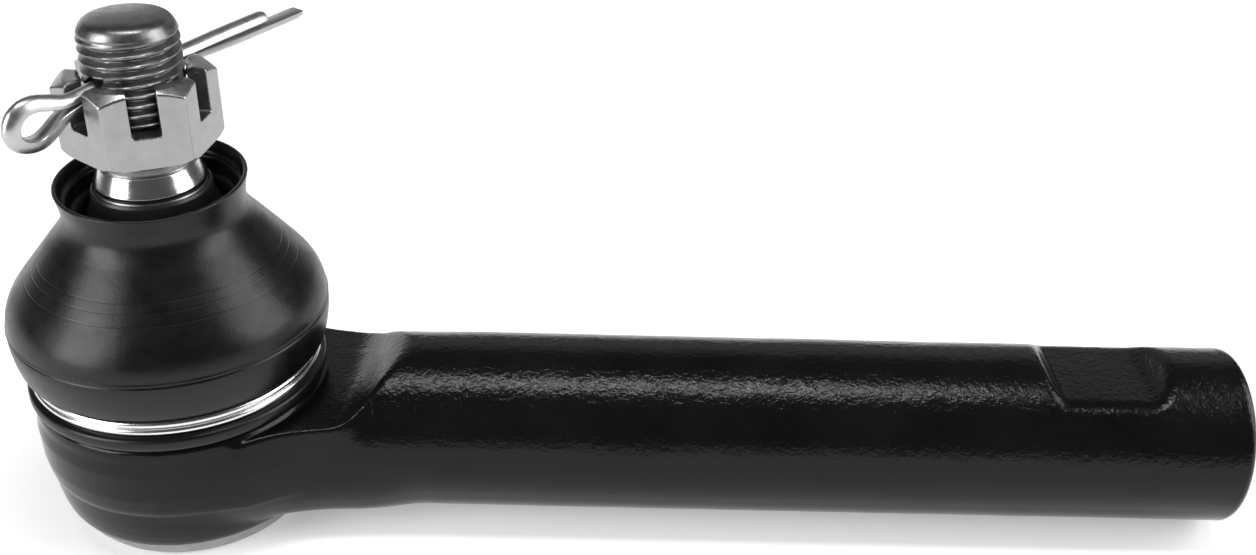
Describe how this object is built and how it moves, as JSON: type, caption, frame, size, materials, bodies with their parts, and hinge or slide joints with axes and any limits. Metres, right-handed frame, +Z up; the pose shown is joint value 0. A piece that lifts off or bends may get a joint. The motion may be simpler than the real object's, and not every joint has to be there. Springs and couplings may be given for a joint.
{
  "type": "tie rod end",
  "caption": "Outer tie rod end: forged body with a ball-joint head, boot-sealed swinging ball stud, castle nut and split pin, and a straight internally threaded shank.",
  "frame": {"origin": "centre of the closing plate's flat underside, on the ball stud's axis", "axes": "+Z up along the ball stud at rest, +X along the shank's axis direction towards its threaded end"},
  "size_m": [0.1645, 0.0417, 0.0702],
  "materials": {
    "forging_black_paint": "semi-gloss black paint over a forged skin",
    "plate_steel": "phosphated pressed steel",
    "spring_steel": "blued spring steel",
    "seat_resin": "acetal bearing resin",
    "stud_steel": "turned and rolled alloy steel",
    "nut_zinc": "bright zinc plate",
    "pin_zinc": "bright zinc plate",
    "boot_rubber": "moulded chloroprene, satin",
    "neck_ring_black": "moulded, satin",
    "clip_wire": "bright drawn wire"
  },
  "bodies": {
    "housing": {"forged_body": "forging_black_paint", "closing_plate": "plate_steel", "preload_spring": "spring_steel", "lower_ball_seat": "seat_resin", "upper_ball_seat": "seat_resin", "boot_clip_ring": "clip_wire"},
    "boot": {"dust_boot": "boot_rubber"},
    "boot_neck": {"boot_neck_ring": "neck_ring_black"},
    "stud": {"ball_stud": "stud_steel", "castle_nut": "nut_zinc", "cotter_pin": "pin_zinc"}
  },
  "joints": [
    {"name": "swing_direction", "type": "hinge", "parent": "housing", "child": "boot", "pos_m": [0, 0, 0.016], "axis": [0, 0, 1], "continuous": true},
    {"name": "stud_swing", "type": "hinge", "parent": "boot", "child": "boot_neck", "pos_m": [0, 0, 0.016], "axis": [0, 1, 0], "range_deg": [-24, 24], "deforming": ["dust_boot"]},
    {"name": "stud_spin", "type": "hinge", "parent": "boot_neck", "child": "stud", "pos_m": [0, 0, 0.016], "axis": [0, 0, 1], "continuous": true}
  ]
}
